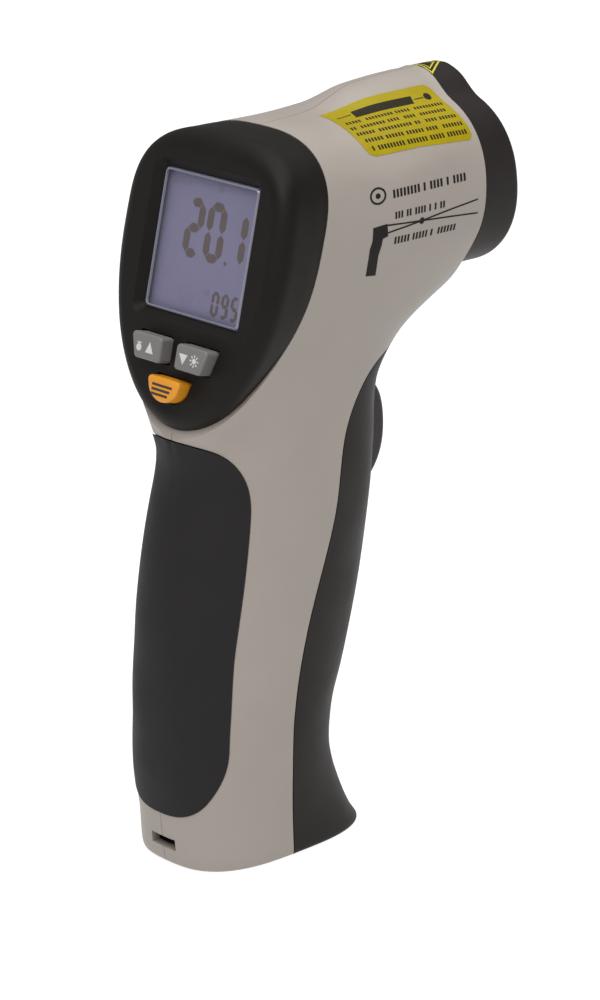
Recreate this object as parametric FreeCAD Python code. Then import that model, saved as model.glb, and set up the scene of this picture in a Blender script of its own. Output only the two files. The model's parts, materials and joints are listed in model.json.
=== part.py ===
import FreeCAD, Part
import math
import os
from FreeCAD import Placement, Rotation, Vector

# Pistol-grip infrared thermometer, in millimetres.
# +Z is up, +Y points along the barrel towards the sensor, +X is the user's right.
# The origin is the middle of the seam on the flat base.

# ---------------------------------------------------------------- driving dimensions
WALL = 2.0                 # casing wall
SKIN = 0.3                 # gap between neighbouring outer pieces that move
JOINT = 0.12               # gap between neighbouring fixed outer pieces
GROOVE = 0.06              # half width of the seam groove
GROOVE_DEPTH = 0.4
BOSS_ROOT = 1.5            # bosses and ribs start this deep in the wall
FLOOR = 2.0                # thickness of the base floor
BASE_Z = -1.4              # height of the base while drawing; pieces are lifted to put it at 0
BASE_ROUND = 1.0           # rounding of the base edge

FACE_TILT = 13.0           # lean of the display face, degrees
FACE_Y = -12.1             # where the face crosses FACE_Z
FACE_Z = 120.0
RIM_ROUND = 4.0            # rounding of the face's rim
FACE_WALL = 2.0            # thickness of the bezel's front wall

RING_Y = 51.0              # joint between the shells and the nose ring
NOSE_Y = 62.0              # front plane of the nose at NOSE_Z
NOSE_Z = 132.0
NOSE_TILT = 5.0            # lean of the front plane, degrees
NOSE_ROUND = 2.0           # rounding of the front edge

AXIS_Z = 130.8             # height of the optical axis
LASER_Z = 147.8            # height of the laser's axis

DISPLAY_V = 8.1            # display centre, measured up the face from FACE_Z
DISPLAY_WIDTH = 27.6
DISPLAY_HEIGHT = 28.2
KEY_RAISE = 3.0            # how far the keys stand out of the face
KEY_GAP = 0.3
KEY_TRAVEL = 0.9
BOARD_DEPTH = 9.6          # main board, behind the face
BOARD_THICKNESS = 1.6
BOARD_SCREW = 0.9

PIN_Y = 18.0               # hinge of the battery door
PIN_Z = BASE_Z + 1.8
PIN_RADIUS = 0.8
PIN_CLEARANCE = 0.05
KNUCKLE = 1.8

TRIGGER_HALF_WIDTH = 4.2
TRIGGER_BOTTOM = 70.6
TRIGGER_TOP = 93.2
TRIGGER_BACK = 24.0
TRIGGER_TRAVEL = 2.5

BATTERY_WIDTH = 17.5       # standard 9 V block
BATTERY_DEPTH = 26.5
BATTERY_HEIGHT = 46.4
BATTERY_Y = -2.9           # centre of the battery
BATTERY_Z = 34.7
BATTERY_LEAN = 5.0         # degrees
BATTERY_REST = 10.2        # top of the rib under the battery

PAD_DEPTH = 1.1            # recess for the rubber pad
PAD_PROUD = 0.2
PAD_GAP = 0.25

SCREW_PLACES = [(27.0, 144.5), (28.0, 117.0), (3.0, 84.0), (-10.0, 6.2)]
SCREW_SEAT = 8.0           # distance of the head's seat from the seam
SCREW_REACH = 7.0          # length of screw beyond the seam
SCREW_RADIUS = 1.0
HEAD_RADIUS = 2.2
HEAD_HEIGHT = 1.7

# Head tube along Y: y, height of the widest line, half width, height above it,
# height below it, roundness above, roundness below.
HEAD = [
    (-14.0, 129.5, 24.6, 19.4, 38.2, 3.75, 2.0),
    (4.0, 130.0, 22.3, 19.8, 35.5, 2.9, 2.1),
    (18.0, 131.0, 20.9, 19.4, 26.0, 2.5, 2.1),
    (34.0, 132.3, 20.5, 19.3, 20.5, 2.35, 2.1),
    (50.0, 132.6, 20.5, 19.0, 19.8, 2.3, 2.1),
    (64.0, 132.2, 19.9, 18.6, 19.4, 2.3, 2.1),
]
LOBE_RADIUS = 9.1          # round laser housing along the top of the barrel
LOBE_TAPER = 57.0          # it rounds off towards its front end from here
# It rises out of the head along this line: y, height of its centre.
LOBE = [(12.0, 138.6), (16.0, 138.9), (20.0, 140.1), (25.0, 142.8), (30.0, 144.9), (36.0, 145.7),
        (46.0, 146.2), (64.0, 146.3)]
THROAT_FILLET = 17.0       # fillet between the barrel and the grip

# Grip tube along Z: z, rear y, front y, half width, roundness.
GRIP = [
    (-1.4, -19.9, 28.3, 15.8, 2.85),
    (1.0, -20.5, 26.4, 15.8, 2.8),
    (4.5, -20.9, 24.5, 15.8, 2.7),
    (8.5, -21.3, 22.8, 15.9, 2.6),
    (13.0, -21.9, 20.9, 16.1, 2.6),
    (18.0, -22.5, 19.7, 16.4, 2.5),
    (23.0, -22.5, 19.6, 16.5, 2.5),
    (29.0, -22.7, 21.0, 16.5, 2.4),
    (36.0, -22.8, 23.6, 16.6, 2.4),
    (45.0, -22.6, 26.8, 16.7, 2.3),
    (54.0, -21.9, 29.1, 16.8, 2.3),
    (65.0, -20.0, 31.0, 17.0, 2.3),
    (75.0, -17.4, 32.2, 17.2, 2.3),
    (84.0, -14.1, 32.4, 17.4, 2.3),
    (96.0, -9.3, 33.2, 17.0, 2.3),
    (104.0, -6.5, 40.0, 15.0, 2.3),
    (112.0, -5.0, 50.5, 13.0, 2.3),
    (125.0, -2.0, 55.0, 8.0, 2.3),
]
GRIP_TOP = 128.0
BEND = (38.0, 96.0)        # centre of the bend from barrel to grip, y and z
BARREL_END = 54.5          # the casing's form runs past its joint with the ring

# Joint lines between the outer pieces, seen from the side: y, z.
BEZEL_LINE = [(-21.0, 83.0), (-17.4, 90.0), (-13.0, 97.4), (-8.3, 105.0), (-1.1, 117.0),
              (2.8, 128.8), (5.5, 139.0), (7.0, 150.0), (7.6, 160.0)]
DOOR_LINE = [(1.4, -3.0), (0.8, 11.0), (0.5, 23.0), (1.3, 33.6), (5.0, 50.2), (9.1, 62.1),
             (12.5, 74.2), (14.3, 87.5), (18.1, 94.8), (23.2, 99.3), (31.0, 102.0),
             (42.0, 104.0)]
PAD_LINE = [(-30.0, 9.6), (-21.6, 10.2), (-17.5, 16.6), (-15.4, 22.2), (-14.6, 29.0),
            (-13.2, 45.6), (-11.2, 57.9), (-8.9, 73.0), (-8.8, 81.5), (-12.0, 87.0),
            (-16.0, 89.2), (-30.0, 90.5)]

FAR = 40.0                 # half width of a cutting prism, beyond every outer surface
SEAM_TOLERANCE = 0.001     # for joining mirrored halves


# ---------------------------------------------------------------- shape functions
# Each is negative inside its shape and close to a distance near the surface.
def interpolate(key, rows):
    """Smooth values between the rows of a table, held at both ends."""
    last = len(rows) - 1
    index = 0
    while index < last - 1 and key > rows[index + 1][0]:
        index += 1
    start, end = rows[index], rows[index + 1]
    span = end[0] - start[0]
    t = min(1.0, max(0.0, (key - start[0]) / span))
    before = rows[index - 1] if index > 0 else start
    after = rows[index + 2] if index + 2 <= last else end
    values = []
    for column in range(1, len(start)):
        a, b = start[column], end[column]
        slope_a = (b - before[column]) / (end[0] - before[0])
        slope_b = (after[column] - a) / (after[0] - start[0])
        value = (2 * t**3 - 3 * t**2 + 1) * a + (3 * t**2 - 2 * t**3) * b
        value += span * ((t**3 - 2 * t**2 + t) * slope_a + (t**3 - t**2) * slope_b)
        values.append(value)
    return values


def blend_min(a, b, reach):
    """Union of two shapes with a smooth fillet."""
    h = min(1.0, max(0.0, 0.5 + 0.5 * (b - a) / reach))
    return b + (a - b) * h - reach * h * (1 - h)


def blend_max(a, b, reach):
    """Intersection of two shapes with a smooth rounding."""
    return -blend_min(-a, -b, reach)


def oval(u, v, half_u, half_v, roundness):
    """Superellipse."""
    radius = math.hypot(u, v)
    if radius < 1e-9:
        return -min(half_u, half_v)
    level = (abs(u / half_u) ** roundness + abs(v / half_v) ** roundness) ** (1 / roundness)
    return radius * (1 - 1 / level)


def head_tube(x, y, z):
    centre, half_width, above, below, round_above, round_below = interpolate(y, HEAD)
    rise = z - centre
    if rise > 0:
        return oval(x, rise, half_width, above, round_above)
    return oval(x, rise, half_width, below, round_below)


def laser_lobe(x, y, z):
    taper = max(0.0, (y - LOBE_TAPER) / 4.5) ** 2
    return math.hypot(x, z - interpolate(y, LOBE)[0]) - LOBE_RADIUS + taper


def head(x, y, z):
    return blend_min(head_tube(x, y, z), laser_lobe(x, y, z), 2.2)


def grip_tube(x, y, z):
    rear, front, half_width, roundness = interpolate(z, GRIP)
    side = oval(x, y - (rear + front) / 2, half_width, (front - rear) / 2, roundness)
    return max(side, z - GRIP_TOP)


def rear_cap(y, z):
    """Closes the head behind the display, where the bezel takes its place."""
    lean = math.radians(3.0)
    return -(y + 16.2) * math.cos(lean) + (z - 90.0) * math.sin(lean)


def body(x, y, z):
    capped = blend_max(head(x, y, z), rear_cap(y, z), 8.0)
    return blend_min(capped, grip_tube(x, y, z), THROAT_FILLET)


# ---------------------------------------------------------------- skinned solids
HALF_TURN_STEPS = 26


def section(shape, origin, up, inset):
    """Points of the half section on the +X side, in the plane through origin and up."""
    points = []
    for step in range(HALF_TURN_STEPS + 1):
        angle = math.pi * (step / HALF_TURN_STEPS - 0.5)
        across, along = math.cos(angle), math.sin(angle)
        if step in (0, HALF_TURN_STEPS):
            across = 0.0
        low, high = 0.0, 62.0
        for _ in range(26):
            reach = (low + high) / 2
            y = origin[0] + reach * along * up[0]
            z = origin[1] + reach * along * up[1]
            if shape(reach * across, y, z) < -inset:
                low = reach
            else:
                high = reach
        y = origin[0] + low * along * up[0]
        z = origin[1] + low * along * up[1]
        points.append(Vector(low * across, y, z))
    return points


def half_solid(rows):
    """Solid between a skin through the rows of points and the seam plane."""
    surface = Part.BSplineSurface()
    surface.interpolate(rows)
    skin = surface.toShape()
    seam_edges, end_faces = [], []
    for edge in skin.Edges:
        middle = edge.valueAt((edge.FirstParameter + edge.LastParameter) / 2)
        if abs(middle.x) < 1e-6:
            seam_edges.append(edge)
            continue
        ends = [vertex.Point for vertex in edge.Vertexes]
        closing = Part.makeLine(ends[0], ends[-1])
        seam_edges.append(closing)
        end_faces.append(Part.Face(Part.Wire([edge, closing])))
    seam = Part.Face(Part.Wire(Part.__sortEdges__(seam_edges)))
    shell = Part.makeShell([skin, seam] + end_faces)
    shell.sewShape()
    solid = Part.makeSolid(shell)
    if solid.Volume < 0:
        solid.reverse()
    return solid


def body_half(inset, bottom, base_round=0.0):
    """Half of the casing's outer form, drawn in by inset, from the ring joint to bottom."""
    rows = []
    for step in range(7):
        rows.append(section(body, (BARREL_END - 2.4 * step, NOSE_Z), (0.0, 1.0), inset))
    start_reach = NOSE_Z - BEND[1]
    end_reach = BEND[0] - sum(interpolate(BEND[1], GRIP)[:2]) / 2
    fan_steps = 26
    for step in range(fan_steps + 1):
        turn = step / fan_steps
        angle = math.radians(90.0 * turn)
        up = (-math.sin(angle), math.cos(angle))
        reach = start_reach + (end_reach - start_reach) * turn + 6.0 * math.sin(2 * angle)
        origin = (BEND[0] + reach * up[0], BEND[1] + reach * up[1])
        rows.append(section(body, origin, up, inset))
    levels = [(BEND[1] - 2.7 * step, 0.0) for step in range(1, 34)]
    levels += [(4.9, 0.0), (3.1, 0.0), (1.3, 0.0)]
    if base_round:
        for step in range(6):
            angle = math.radians(18.0 * step)
            rise = bottom + base_round * (1 - math.sin(angle))
            levels.append((rise, base_round * (1 - math.cos(angle))))
    else:
        levels.append((bottom, 0.0))
    for level, extra in levels:
        rear, front = interpolate(level, GRIP)[:2]
        rows.append(section(body, ((rear + front) / 2, level), (-1.0, 0.0), inset + extra))
    return half_solid(rows)


def nose_half(inset, first_depth, rounding, back):
    """Half of the nose, drawn in by inset, from first_depth behind its front plane to back."""
    depths = []
    for step in range(7):
        angle = math.radians(90.0 - 15.0 * step)
        depth = first_depth + rounding * (1 - math.sin(angle))
        depths.append((depth, rounding * (1 - math.cos(angle))))
    length = NOSE_Y - back
    straight = length - first_depth - rounding
    count = round(straight / 0.6)
    for step in range(count):
        depths.append((first_depth + rounding + straight * (step + 1) / count, 0.0))
    rows = []
    for depth, extra in depths:
        lean = math.radians(NOSE_TILT) * (1 - depth / length)
        up = (-math.sin(lean), math.cos(lean))
        rows.append(section(head, (NOSE_Y - depth, NOSE_Z), up, inset + extra))
    return half_solid(rows)


def rim_inset(depth):
    """How far the rounded rim is drawn in, at a depth behind the face."""
    if depth >= RIM_ROUND:
        return 0.0
    return RIM_ROUND - math.sqrt(RIM_ROUND**2 - (RIM_ROUND - depth) ** 2)


def bezel_half(inset, first_depth):
    """Half of the bezel's form, drawn in by inset, in planes parallel to the face."""
    lean = math.radians(FACE_TILT)
    up = (math.sin(lean), math.cos(lean))
    inward = (math.cos(lean), -math.sin(lean))
    depths = [0.0, 0.1, 0.35, 0.8, 1.4, 2.2, 3.1, 4.0, 5.5, 7.5, 10.0, 13.0, 16.0, 20.0]
    depths = [first_depth] + [depth for depth in depths if depth > first_depth + 0.05]
    rows = []
    for depth in depths:
        y = FACE_Y + inward[0] * depth + up[0] * 6.0
        z = FACE_Z + inward[1] * depth + up[1] * 6.0
        rows.append(section(head, (y, z), up, inset + rim_inset(depth)))
    return half_solid(rows)


# ---------------------------------------------------------------- helpers
def shifted(line, distance):
    """The line moved sideways, to the left of its direction."""
    moved = []
    for index, point in enumerate(line):
        before = line[max(0, index - 1)]
        after = line[min(len(line) - 1, index + 1)]
        run = (after[0] - before[0], after[1] - before[1])
        length = math.hypot(run[0], run[1])
        moved.append((point[0] - run[1] / length * distance,
                      point[1] + run[0] / length * distance))
    return moved


def side_zone(line, corners):
    """Prism along X between a smooth line and straight runs through the corners."""
    curve = Part.BSplineCurve()
    curve.interpolate([Vector(-FAR, y, z) for y, z in line])
    stops = [line[-1]] + corners + [line[0]]
    stops = [Vector(-FAR, y, z) for y, z in stops]
    edges = [curve.toShape()]
    edges += [Part.makeLine(a, b) for a, b in zip(stops, stops[1:])]
    return Part.Face(Part.Wire(edges)).extrude(Vector(2 * FAR, 0, 0))


def block(x, y, z):
    """Box between pairs of limits."""
    size = (x[1] - x[0], y[1] - y[0], z[1] - z[0])
    return Part.makeBox(size[0], size[1], size[2], Vector(x[0], y[0], z[0]))


def rod_x(radius, x, y, z):
    """Cylinder along X between the limits x."""
    return Part.makeCylinder(radius, x[1] - x[0], Vector(x[0], y, z), Vector(1, 0, 0))


def rod_y(radius, y, z, x=0.0):
    """Cylinder along Y between the limits y."""
    return Part.makeCylinder(radius, y[1] - y[0], Vector(x, y[0], z), Vector(0, 1, 0))


def mirrored(shape):
    return shape.mirror(Vector(0, 0, 0), Vector(1, 0, 0))


def both_halves(half):
    """The half on the +X side joined with its mirror image, with its seam edges kept."""
    return half.fuse([mirrored(half)], SEAM_TOLERANCE)


def whole(half):
    return both_halves(half).removeSplitter()


def on_face(shape):
    """Puts a shape drawn in the face's own axes (x, up the face, outward) in place."""
    place = Placement(Vector(0, FACE_Y, FACE_Z), Rotation(Vector(1, 0, 0), 90 - FACE_TILT))
    moved = shape.copy()
    moved.Placement = place.multiply(moved.Placement)
    return moved


def plate(width, height, radius, centre_v, depth, thickness):
    """Rounded rectangular plate lying behind the face, from depth inwards."""
    box = block((-width / 2, width / 2), (centre_v - height / 2, centre_v + height / 2),
                (-depth - thickness, -depth))
    upright = [e for e in box.Edges if abs(e.Vertexes[0].Z - e.Vertexes[-1].Z) > 1e-6]
    return box.makeFillet(radius, upright)


def rounded(shape, radius, edges):
    return shape.makeFillet(radius, edges)


def first_solid(shape):
    """The largest solid of a result."""
    return max(shape.Solids, key=lambda solid: solid.Volume)


def revolved(points):
    """Ring about the optical axis from (y, radius) corners."""
    corners = [Vector(0, y, AXIS_Z + radius) for y, radius in points]
    face = Part.Face(Part.makePolygon(corners + [corners[0]]))
    return face.revolve(Vector(0, 0, AXIS_Z), Vector(0, 1, 0), 360)


# ---------------------------------------------------------------- cutting zones
def bezel_zone(shift):
    """Everything behind the bezel joint, moved forward by shift."""
    return side_zone(shifted(BEZEL_LINE, -shift), [(-60.0, 160.0), (-60.0, 83.0)])


def door_zone(shift):
    """Everything in front of the door joint, moved forward by shift."""
    return side_zone(shifted(DOOR_LINE, -shift), [(70.0, 104.0), (70.0, -3.0)])


def pad_zone(shift):
    """Everything behind the pad's edge, drawn in by shift."""
    return side_zone(shifted(PAD_LINE, shift), [(-60.0, 90.5), (-60.0, 9.6)])


# ---------------------------------------------------------------- casing forms
outer = body_half(0.0, BASE_Z, BASE_ROUND)
under_skin = body_half(GROOVE_DEPTH, -3.0)
under_pad = body_half(PAD_DEPTH, -3.0)
inner = body_half(WALL, BASE_Z + FLOOR)
inner_open = body_half(WALL, -3.0)
inside_door = body_half(WALL + 0.35, -3.0)
wall_reach = body_half(BOSS_ROOT, -3.0)
bezel_outer = bezel_half(0.0, 0.0)
bezel_inner = bezel_half(WALL + 0.2, FACE_WALL)
nose_outer = nose_half(0.0, 0.0, NOSE_ROUND, 47.0)
nose_inner = nose_half(WALL, WALL, NOSE_ROUND, 47.0)


# ---------------------------------------------------------------- shells
def shell_half():
    """Right half of the casing, before its screw holes."""
    wall = outer.cut(inner)
    wall = wall.cut(bezel_zone(JOINT / 2))
    wall = wall.cut(block((-FAR, FAR), (RING_Y - JOINT / 2, 80), (80, 170)))
    wall = wall.cut(door_zone(0.0))
    recess = pad_zone(0.0).common(outer).cut(under_pad)
    wall = wall.cut(recess)
    groove = block((-1.0, GROOVE), (-60, 80), (-5, 170)).cut(under_skin)
    wall = first_solid(wall.cut(groove))
    strap_slot = block((-1.0, 3.6), (-30.0, -16.0), (2.4, 4.9))
    wall = wall.cut(strap_slot)
    return wall.fuse(shell_ribs())


def within_shell(tool):
    """The part of a tool that lies in the cavity, rooted in the shell's wall."""
    rooted = wall_reach.common(tool).cut(door_zone(-SKIN))
    return inside_door.common(tool).fuse(rooted)


def shell_ribs():
    """Floor tongue and everything that stands inside the shell to carry other pieces."""
    corners = [(0, -3.0), (12.6, -3.0), (12.6, 4.0), (11.0, 15.9), (0, 15.9), (0, -3.0)]
    tongue = Part.Face(Part.makePolygon([Vector(x, y, BASE_Z) for x, y in corners]))
    floor = inside_door.common(tongue.extrude(Vector(0, 0, FLOOR)))
    knuckle = rod_x(KNUCKLE, (2.0, 5.6), PIN_Y, PIN_Z)
    knuckle = knuckle.fuse(block((2.0, 5.6), (14.0, PIN_Y), (BASE_Z, PIN_Z)))
    knuckle = knuckle.cut(rod_x(PIN_RADIUS, (1.0, 7.0), PIN_Y, PIN_Z))
    battery_rib = block((0.0, 9.0), (2.0, 5.0), (BASE_Z + FLOOR - 0.5, BATTERY_REST))
    ribs = floor.fuse(knuckle).fuse(battery_rib)
    for rib in (trigger_shelves(), switch_slot(), laser_cradle(), cone_cradle()):
        ribs = ribs.fuse(within_shell(rib))
    return ribs


def trigger_shelves():
    upper = block((0, FAR), (8.0, 30.0), (TRIGGER_TOP + 0.5, TRIGGER_TOP + 1.9))
    lower_z = (TRIGGER_BOTTOM - 1.9, TRIGGER_BOTTOM - 0.5)
    lower = block((0, FAR), (20.5, 29.5), lower_z)
    side = block((9.6, FAR), (9.0, 29.5), lower_z)
    return upper.fuse(lower).fuse(side)


def switch_slot():
    """Cheek with a groove for the trigger's switch board."""
    cheek = block((6.6, FAR), (10.0, 15.8), (75.0, 91.5))
    return cheek.cut(block((6.0, 8.1), (13.05, 14.45), (75.9, 92.0)))


def laser_cradle():
    rib = block((0, FAR), (40.0, 42.0), (LASER_Z - 3.6, 160.0))
    return rib.cut(rod_y(3.0, (35.0, 45.0), LASER_Z))


def cone_cradle():
    rib = block((0, FAR), (43.0, 44.8), (AXIS_Z - 20.0, AXIS_Z + 9.0))
    return rib.cut(rod_y(CONE_THROAT + 2.9, (40.0, 50.0), AXIS_Z))


def screw_boss(y, z, radius):
    return rod_x(radius, (GROOVE, FAR), y, z).common(wall_reach)


def right_shell(half):
    for y, z in SCREW_PLACES:
        half = half.fuse(screw_boss(y, z, 2.8))
    for y, z in SCREW_PLACES:
        half = half.cut(rod_x(SCREW_RADIUS, (-1.0, SCREW_REACH + 0.5), y, z))
    return half


def left_shell(half):
    for y, z in SCREW_PLACES:
        half = half.fuse(screw_boss(y, z, 3.8))
    for y, z in SCREW_PLACES:
        half = half.cut(rod_x(SCREW_RADIUS + 0.3, (-1.0, SCREW_SEAT + 1.0), y, z))
        half = half.cut(rod_x(HEAD_RADIUS + 0.3, (SCREW_SEAT, FAR), y, z))
    return mirrored(half)


def shell_screws():
    """Pan-head screws that hold the shells together, driven from the left."""
    screws = []
    for y, z in SCREW_PLACES:
        shank = rod_x(SCREW_RADIUS, (-SCREW_SEAT, SCREW_REACH), y, z)
        pan = rod_x(HEAD_RADIUS, (-SCREW_SEAT - HEAD_HEIGHT, -SCREW_SEAT), y, z)
        rim = [e for e in pan.Edges if abs(e.CenterOfMass.x + SCREW_SEAT + HEAD_HEIGHT) < 1e-6]
        pan = rounded(pan, 0.5, rim)
        end = -SCREW_SEAT - HEAD_HEIGHT
        slot = block((end - 1, end + 0.8), (y - 1.3, y + 1.3), (z - 0.25, z + 0.25))
        cross = block((end - 1, end + 0.8), (y - 0.25, y + 0.25), (z - 1.3, z + 1.3))
        screws.append(shank.fuse(pan).cut(slot.fuse(cross)).removeSplitter())
    return Part.makeCompound(screws)


# ---------------------------------------------------------------- battery door
def battery_door():
    """U-shaped front strip of the grip with the trigger slot and hinge knuckles."""
    half = outer.cut(inner_open).common(door_zone(SKIN))
    floor_z = (BASE_Z, BASE_Z + FLOOR)
    toe_floor = outer.common(block((0, FAR), (PIN_Y + KNUCKLE + 0.3, 40), floor_z))
    half = half.fuse(toe_floor)
    knuckle = rod_x(KNUCKLE, (6.0, 9.6), PIN_Y, PIN_Z)
    knuckle = knuckle.fuse(block((6.0, 9.6), (PIN_Y, PIN_Y + 3.5), (BASE_Z, PIN_Z)))
    half = half.fuse(knuckle.common(outer))
    half = half.cut(rod_x(PIN_RADIUS + PIN_CLEARANCE, (1.0, 11.0), PIN_Y, PIN_Z))
    slot = block((-1, TRIGGER_HALF_WIDTH + SKIN), (20.0, 60.0),
                 (TRIGGER_BOTTOM - 1.0, TRIGGER_TOP + 0.9))
    return whole(half.cut(slot))


def door_hinge_pin():
    return rod_x(PIN_RADIUS, (-9.9, 9.9), PIN_Y, PIN_Z)


# ---------------------------------------------------------------- grip pad
def grip_pad():
    """Rubber pad let into the back of the grip."""
    proud = body_half(-PAD_PROUD, -3.0)
    half = proud.cut(under_pad).common(pad_zone(PAD_GAP))
    return whole(first_solid(half))


# ---------------------------------------------------------------- display bezel and keys
def display_window():
    """Sloping opening in the bezel in front of the display."""
    rims = []
    for depth, growth in ((-0.05, 3.7), (FACE_WALL + 0.05, 0.0)):
        box = plate(DISPLAY_WIDTH + growth, DISPLAY_HEIGHT + growth, 1.0 + growth / 3,
                    DISPLAY_V, depth, 1.0)
        top = max(box.Faces, key=lambda face: face.CenterOfMass.z)
        rims.append(top.OuterWire)
    return on_face(Part.makeLoft(rims, True, True))


def key_outline(name):
    """Face of a key's outline at the plane of the display face."""
    if name == "mode":
        corners = [Vector(-4.0, -21.0, 0), Vector(-4.9, -18.3, 0), Vector(4.9, -18.3, 0),
                   Vector(4.0, -21.0, 0)]
        edges = [Part.makeLine(a, b) for a, b in zip(corners, corners[1:])]
        edges.append(Part.Arc(corners[3], Vector(0, -23.2, 0), corners[0]).toShape())
        return Part.Face(Part.Wire(edges))
    side = -1 if name == "up" else 1
    corners = [(11.3, -10.7), (2.2, -10.7), (2.2, -15.9), (9.6, -15.9), (11.3, -10.7)]
    return Part.Face(Part.makePolygon([Vector(side * x, v, 0) for x, v in corners]))


def grown(face, distance):
    return face.makeOffset2D(distance) if distance else face


def key_prism(name, growth, bottom, top):
    prism = grown(key_outline(name), growth).copy()
    prism.translate(Vector(0, 0, bottom))
    return prism.extrude(Vector(0, 0, top - bottom))


def key(name):
    """Keycap with a rounded top, a flange behind the bezel and a stem to its switch."""
    cap = key_prism(name, 0.0, -FACE_WALL - 1.2, KEY_RAISE)
    upright = [e for e in cap.Edges if abs(e.Vertexes[0].Z - e.Vertexes[-1].Z) > 1.0]
    cap = rounded(cap, 0.8, upright)
    top = [e for e in cap.Edges if e.BoundBox.ZMin > KEY_RAISE - 1e-4]
    cap = rounded(cap, 0.6, top)
    flange = key_prism(name, 0.6, -FACE_WALL - 1.2, -FACE_WALL - 0.4)
    centre = key_outline(name).CenterOfMass
    stem = Part.makeCylinder(1.5, 3.0, Vector(centre.x, centre.y, -FACE_WALL - 4.0))
    return on_face(cap.fuse(flange).fuse(stem).removeSplitter())


KEY_NAMES = ("up", "down", "mode")
POST_PLACES = [(-8.0, 26.2), (8.0, 26.2), (-7.6, -18.9), (7.6, -18.9)]
POST_RADIUS = 1.8


def display_bezel():
    half = bezel_outer.cut(bezel_inner)
    half = first_solid(half.common(bezel_zone(-JOINT / 2)))
    bezel = whole(half)
    bezel = bezel.cut(display_window())
    for name in KEY_NAMES:
        bezel = bezel.cut(on_face(key_prism(name, KEY_GAP, -10.0, 5.0)))
    for x, v in POST_PLACES:
        post = Part.makeCylinder(POST_RADIUS, BOARD_DEPTH - 1.5, Vector(x, v, -BOARD_DEPTH))
        pilot = Part.makeCylinder(BOARD_SCREW, 6.0, Vector(x, v, -BOARD_DEPTH - 0.1))
        bezel = bezel.fuse(on_face(post)).cut(on_face(pilot))
    return first_solid(bezel)


def lcd_window():
    return on_face(plate(31.4, 32.0, 1.0, DISPLAY_V, FACE_WALL + 0.1, 1.0))


def lcd_panel():
    return on_face(plate(31.0, 31.6, 0.4, DISPLAY_V, FACE_WALL + 1.2, 2.0))


def backlight_panel():
    return on_face(plate(29.5, 27.6, 0.6, DISPLAY_V - 1.6, FACE_WALL + 3.3, 2.0))


def zebra_strip():
    """Conductive rubber strip from the display's upper edge to the board."""
    depth = FACE_WALL + 3.3
    return on_face(block((-14.5, 14.5), (21.4, 23.4), (-BOARD_DEPTH, -depth)))


def main_board():
    """Board behind the display, with tabs for its upper screws."""
    corners = [(-16.5, 21.0), (-13.0, 24.4), (-11.0, 24.4), (-11.0, 28.0), (-5.0, 28.0),
               (-5.0, 24.4)]
    corners += [(-x, v) for x, v in reversed(corners)]
    corners += [(16.5, -4.0), (10.3, -24.0), (-10.3, -24.0), (-16.5, -4.0), (-16.5, 21.0)]
    face = Part.Face(Part.makePolygon([Vector(x, v, -BOARD_DEPTH) for x, v in corners]))
    board = face.extrude(Vector(0, 0, -BOARD_THICKNESS))
    for x, v in POST_PLACES:
        board = board.cut(Part.makeCylinder(BOARD_SCREW, 4.0, Vector(x, v, -BOARD_DEPTH - 3.0)))
    return on_face(board)


def board_screws():
    """Small screws through the main board into the bezel's posts."""
    back = -BOARD_DEPTH - BOARD_THICKNESS
    screws = []
    for x, v in POST_PLACES:
        shank = Part.makeCylinder(BOARD_SCREW, 6.0, Vector(x, v, back))
        pan = Part.makeCylinder(1.9, 1.3, Vector(x, v, back - 1.3))
        slot = block((x - 2.0, x + 2.0), (v - 0.2, v + 0.2), (back - 1.5, back - 0.8))
        screws.append(shank.fuse(pan).cut(slot).removeSplitter())
    return on_face(Part.makeCompound(screws))


def board_chips():
    """Controller, amplifier and memory on the back of the main board."""
    back = -BOARD_DEPTH - BOARD_THICKNESS
    chips = [((-6.0, 6.0), (2.0, 14.0), 1.5), ((8.5, 13.5), (-2.5, 1.5), 1.4),
             ((-13.5, -9.0), (15.0, 20.0), 1.2), ((-5.4, 5.4), (-20.0, -15.0), 3.0)]
    return on_face(Part.makeCompound([block(x, v, (back - h, back)) for x, v, h in chips]))


def buzzer():
    back = -BOARD_DEPTH - BOARD_THICKNESS
    can = Part.makeCylinder(4.6, 4.0, Vector(-9.5, -6.5, back - 4.0))
    port = Part.makeCylinder(1.0, 1.0, Vector(-9.5, -6.5, back - 4.0))
    return on_face(can.cut(port))


def key_switches():
    """Tact switches under the keys."""
    switches = []
    for name in KEY_NAMES:
        centre = key_outline(name).CenterOfMass
        x, v = centre.x, centre.y
        top = -FACE_WALL - 4.0 - KEY_TRAVEL - 0.1
        base = block((x - 2.2, x + 2.2), (v - 2.2, v + 2.2), (-BOARD_DEPTH, top - 0.6))
        button = Part.makeCylinder(1.1, 0.6, Vector(x, v, top - 0.6))
        switches.append(base.fuse(button).removeSplitter())
    return on_face(Part.makeCompound(switches))


# ---------------------------------------------------------------- nose
SPIGOT_RADIUS = 17.3       # collar's tongue inside the shells
SPIGOT_Z = 132.4
CONE_MOUTH = 11.9
CONE_THROAT = 7.2
CONE_FRONT = 57.8


def tube_y(outer_radius, inner_radius, y, z):
    return rod_y(outer_radius, y, z).cut(rod_y(inner_radius, (y[0] - 1, y[1] + 1), z))


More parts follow.
